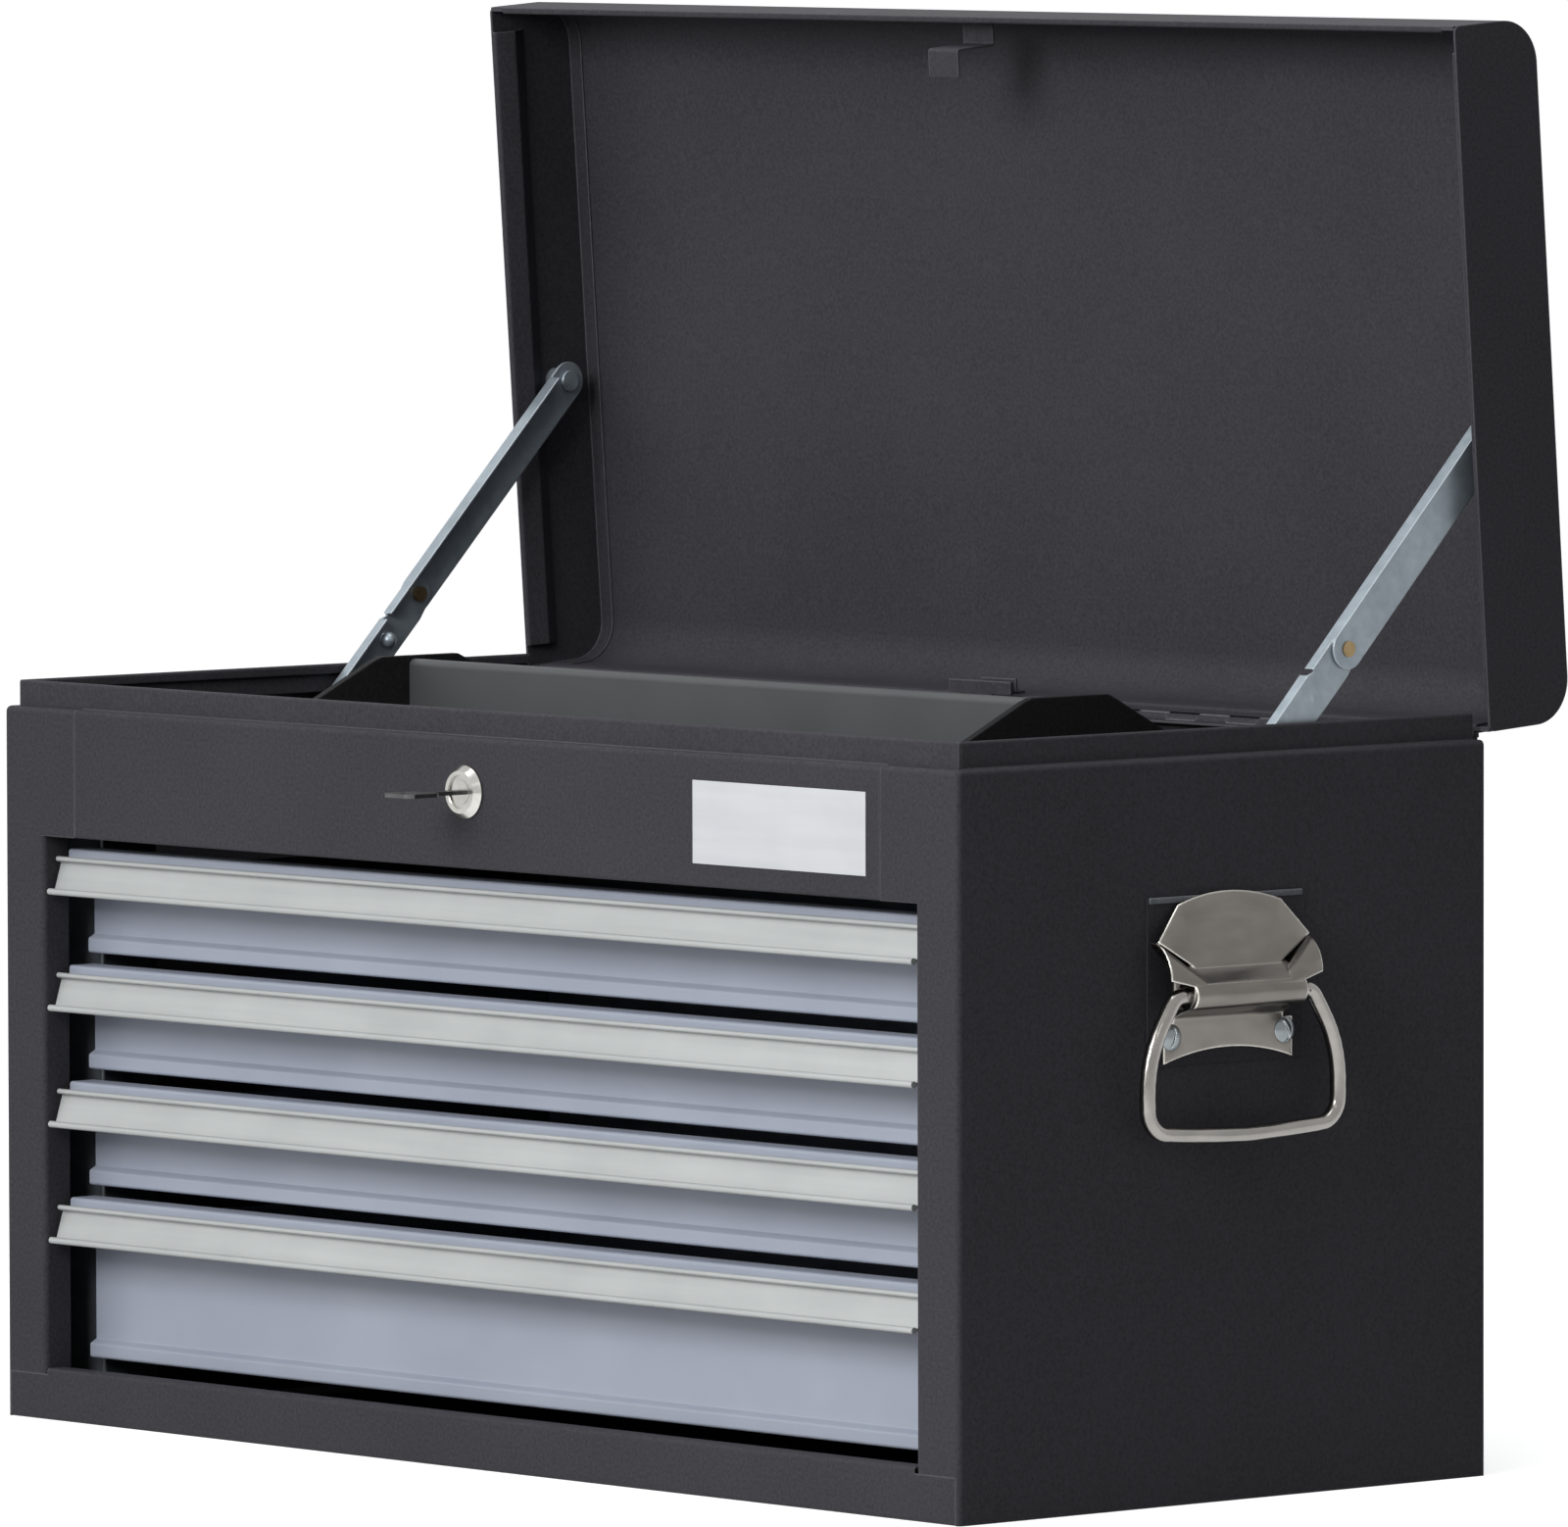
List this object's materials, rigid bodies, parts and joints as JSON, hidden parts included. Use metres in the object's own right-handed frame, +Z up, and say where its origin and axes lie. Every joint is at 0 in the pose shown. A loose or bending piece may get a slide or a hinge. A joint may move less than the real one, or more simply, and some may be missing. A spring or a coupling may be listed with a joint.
{
  "type": "machinist tool chest",
  "caption": "Low sheet-steel tool chest with a hinged lid on folding stays, a lift-out tote, drawers with full-width pulls, a keyed lock and swing handles.",
  "frame": {"origin": "centre of the flat underside of the chest", "axes": "+Z up, +X to the right along the width seen from the front, front towards -Y"},
  "size_m": [0.6974, 0.4093, 0.6507],
  "materials": {
    "powder_grey": "matt textured powder coat",
    "powder_dark": "matt textured powder coat",
    "face_blue": "smooth satin blue-grey paint",
    "pull_silver": "light satin",
    "zinc": "bright zinc plate",
    "nickel": "worn nickel plate",
    "chrome": "polished",
    "brass": "worn",
    "tote_grey": "satin grey paint",
    "tote_black": "matt black"
  },
  "bodies": {
    "case": {"side_panel_left": "powder_grey", "side_panel_right": "powder_dark", "back_panel": "powder_dark", "bottom_panel": "powder_grey", "front_header": "powder_grey", "compartment_floor": "powder_grey", "slide_uprights_left": "zinc", "slide_uprights_right": "zinc", "drawer_1_rails": "zinc", "drawer_2_rails": "zinc", "drawer_3_rails": "zinc", "drawer_4_rails": "zinc", "lock_body": "chrome", "lock_nut": "chrome", "handle_plate_left": "nickel", "handle_plate_right": "nickel", "handle_backing_left": "powder_dark", "handle_backing_right": "powder_dark", "handle_screws": "chrome", "hinge_leaf_case": "powder_dark", "hinge_pin": "zinc", "stay_case_studs": "zinc"},
    "drawer_1": {"drawer_1_box": "face_blue", "drawer_1_front": "face_blue", "drawer_1_pull": "pull_silver", "drawer_1_runners": "zinc"},
    "drawer_2": {"drawer_2_box": "face_blue", "drawer_2_front": "face_blue", "drawer_2_pull": "pull_silver", "drawer_2_runners": "zinc"},
    "drawer_3": {"drawer_3_box": "face_blue", "drawer_3_front": "face_blue", "drawer_3_pull": "pull_silver", "drawer_3_runners": "zinc"},
    "drawer_4": {"drawer_4_box": "face_blue", "drawer_4_front": "face_blue", "drawer_4_pull": "pull_silver", "drawer_4_runners": "zinc"},
    "lock_plug": {"lock_plug": "chrome", "lock_cam": "zinc"},
    "key": {"key": "nickel"},
    "lid": {"lid_shell": "powder_grey", "lid_end_left": "powder_grey", "lid_end_right": "powder_dark", "lid_catch": "zinc", "hinge_leaf_lid": "powder_dark", "stay_lid_studs": "zinc", "lock_lift_bracket": "zinc"},
    "stay_upper_left": {"stay_upper_left": "zinc", "stay_elbow_left": "brass"},
    "stay_lower_left": {"stay_lower_left": "zinc"},
    "bail_left": {"bail_left": "nickel"},
    "stay_upper_right": {"stay_upper_right": "zinc", "stay_elbow_right": "brass"},
    "stay_lower_right": {"stay_lower_right": "zinc"},
    "bail_right": {"bail_right": "nickel"},
    "tote": {"tote_tray": "tote_grey", "tote_ends": "tote_black", "tote_handle": "tote_grey"},
    "drawer_lock_bar": {"drawer_lock_bar": "zinc"}
  },
  "joints": [
    {"name": "lid_hinge", "type": "hinge", "parent": "case", "child": "lid", "pos_m": [0, 0.1612, 0.3302], "axis": [1, 0, 0], "range_deg": [0, 86]},
    {"name": "stay_upper_left_pivot", "type": "hinge", "parent": "lid", "child": "stay_upper_left", "pos_m": [-0.3198, 0.17852, 0.47095], "axis": [1, 0, 0], "range_deg": [-113.42, 0]},
    {"name": "stay_lower_left_pivot", "type": "hinge", "parent": "stay_upper_left", "child": "stay_lower_left", "pos_m": [-0.3198, 0.08355, 0.37318], "axis": [1, 0, 0], "range_deg": [0, 150.76]},
    {"name": "stay_upper_right_pivot", "type": "hinge", "parent": "lid", "child": "stay_upper_right", "pos_m": [0.3198, 0.17852, 0.47095], "axis": [1, 0, 0], "range_deg": [-113.42, 0]},
    {"name": "stay_lower_right_pivot", "type": "hinge", "parent": "stay_upper_right", "child": "stay_lower_right", "pos_m": [0.3198, 0.08355, 0.37318], "axis": [1, 0, 0], "range_deg": [0, 150.76]},
    {"name": "drawer_lock_bar_slide", "type": "slide", "parent": "case", "child": "drawer_lock_bar", "axis": [0, 0, -1], "range_m": [0, 0.0094]},
    {"name": "drawer_1_slide", "type": "slide", "parent": "case", "child": "drawer_1", "axis": [0, -1, 0], "range_m": [0, 0.19]},
    {"name": "drawer_2_slide", "type": "slide", "parent": "case", "child": "drawer_2", "axis": [0, -1, 0], "range_m": [0, 0.19]},
    {"name": "drawer_3_slide", "type": "slide", "parent": "case", "child": "drawer_3", "axis": [0, -1, 0], "range_m": [0, 0.19]},
    {"name": "drawer_4_slide", "type": "slide", "parent": "case", "child": "drawer_4", "axis": [0, -1, 0], "range_m": [0, 0.19]},
    {"name": "lock_turn", "type": "hinge", "parent": "case", "child": "lock_plug", "pos_m": [0, -0.158, 0.3053], "axis": [0, -1, 0], "range_deg": [0, 90]},
    {"name": "key_pull", "type": "slide", "parent": "lock_plug", "child": "key", "axis": [0, -1, 0], "range_m": [0, 0.06]},
    {"name": "bail_right_swing", "type": "hinge", "parent": "case", "child": "bail_right", "pos_m": [0.342, 0, 0.226], "axis": [0, -1, 0], "range_deg": [0, 100]},
    {"name": "bail_left_swing", "type": "hinge", "parent": "case", "child": "bail_left", "pos_m": [-0.342, 0, 0.226], "axis": [0, 1, 0], "range_deg": [0, 100]},
    {"name": "tote_lift", "type": "slide", "parent": "case", "child": "tote", "axis": [0, 0, -1], "range_m": [-0.16, 0]}
  ],
  "couplings": [
    {"joint": "stay_upper_left_pivot", "follows": "lid_hinge", "ratio": -1.313},
    {"joint": "stay_lower_left_pivot", "follows": "lid_hinge", "ratio": 1.7472},
    {"joint": "stay_upper_right_pivot", "follows": "lid_hinge", "ratio": -1.313},
    {"joint": "stay_lower_right_pivot", "follows": "lid_hinge", "ratio": 1.7472},
    {"joint": "drawer_lock_bar_slide", "follows": "lid_hinge", "m_per_rad": 0.006196}
  ]
}
